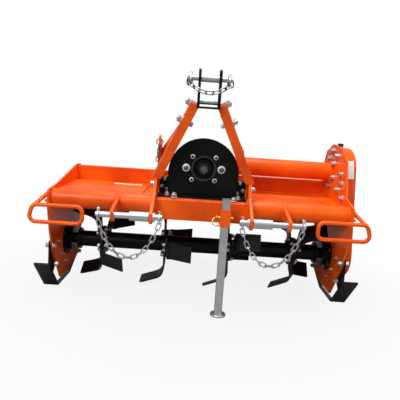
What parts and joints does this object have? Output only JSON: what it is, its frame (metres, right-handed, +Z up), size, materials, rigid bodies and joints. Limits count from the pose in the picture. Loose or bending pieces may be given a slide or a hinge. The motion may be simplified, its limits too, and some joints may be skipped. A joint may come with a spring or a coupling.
{
  "type": "rotary tiller",
  "caption": "Rear rotary tiller for a three-point hitch: steel body over a power-driven rotor with L-shaped tines, side chain drive, hitch mast, parking stand, skids and hinged tailboard.",
  "frame": {"origin": "on the ground under the middle of the machine's bounding box", "axes": "+X to the right as seen from the tractor, +Y away from the tractor, +Z up"},
  "size_m": [1.37, 0.8184, 0.949],
  "materials": {
    "orange_paint": "gloss powder coat",
    "black_paint": "satin enamel",
    "tine_paint": "thin dipped paint on forged steel",
    "zinc_plate": "bright zinc plating",
    "bare_steel": "oiled machined steel",
    "black_plastic": "moulded"
  },
  "bodies": {
    "frame": {"bearing_cap": "black_paint", "brace_post": "orange_paint", "chain_case": "orange_paint", "deck_cover": "orange_paint", "drive_tube": "orange_paint", "filler_plugs": "black_plastic", "front_plate": "orange_paint", "front_tube": "orange_paint", "gearbox": "orange_paint", "gearbox_feet": "orange_paint", "head_spacer": "zinc_plate", "hood": "orange_paint", "inner_bracket_left": "orange_paint", "inner_bracket_right": "orange_paint", "lower_pin_left": "zinc_plate", "lower_pin_right": "zinc_plate", "mast_arm_left": "orange_paint", "mast_arm_right": "orange_paint", "mast_head": "black_paint", "outer_brackets": "orange_paint", "pin_bushes": "zinc_plate", "pin_chain_left": "zinc_plate", "pin_chain_right": "zinc_plate", "pin_rings": "zinc_plate", "pto_guard": "black_paint", "rear_beam": "orange_paint", "rear_brace_left": "orange_paint", "rear_brace_right": "orange_paint", "rotor_bearings": "black_paint", "side_hoop_left": "orange_paint", "side_hoop_right": "orange_paint", "side_plate_left": "orange_paint", "side_plate_right": "orange_paint", "skid_left": "black_paint", "skid_right": "black_paint", "stand_collar": "orange_paint", "tailboard_rod": "zinc_plate", "top_bush": "zinc_plate", "top_pin": "zinc_plate", "top_pin_chain": "zinc_plate"},
    "rotor": {"tine_flange_1": "tine_paint", "tine_flange_2": "tine_paint", "tine_flange_3": "tine_paint", "tine_flange_4": "tine_paint", "tine_set_1": "tine_paint", "tine_set_2": "tine_paint", "tine_set_3": "tine_paint", "tine_set_4": "tine_paint", "rotor_shaft": "black_paint"},
    "pto": {"pto_shaft": "bare_steel"},
    "stand": {"stand_leg": "zinc_plate", "stand_foot": "zinc_plate"},
    "tailboard": {"tailboard": "orange_paint"}
  },
  "joints": [
    {"name": "rotor_spin", "type": "hinge", "parent": "frame", "child": "rotor", "pos_m": [0, -0.04, 0.195], "axis": [1, 0, 0], "continuous": true},
    {"name": "pto_spin", "type": "hinge", "parent": "frame", "child": "pto", "pos_m": [0, -0.19, 0.57], "axis": [0, 1, 0], "continuous": true},
    {"name": "stand_slide", "type": "slide", "parent": "frame", "child": "stand", "axis": [0, 0, 1], "range_m": [0, 0.25]},
    {"name": "tailboard_hinge", "type": "hinge", "parent": "frame", "child": "tailboard", "pos_m": [0, 0.212, 0.322], "axis": [1, 0, 0], "range_deg": [0, 70]}
  ],
  "couplings": [
    {"joint": "pto_spin", "follows": "rotor_spin", "ratio": -2.6}
  ]
}
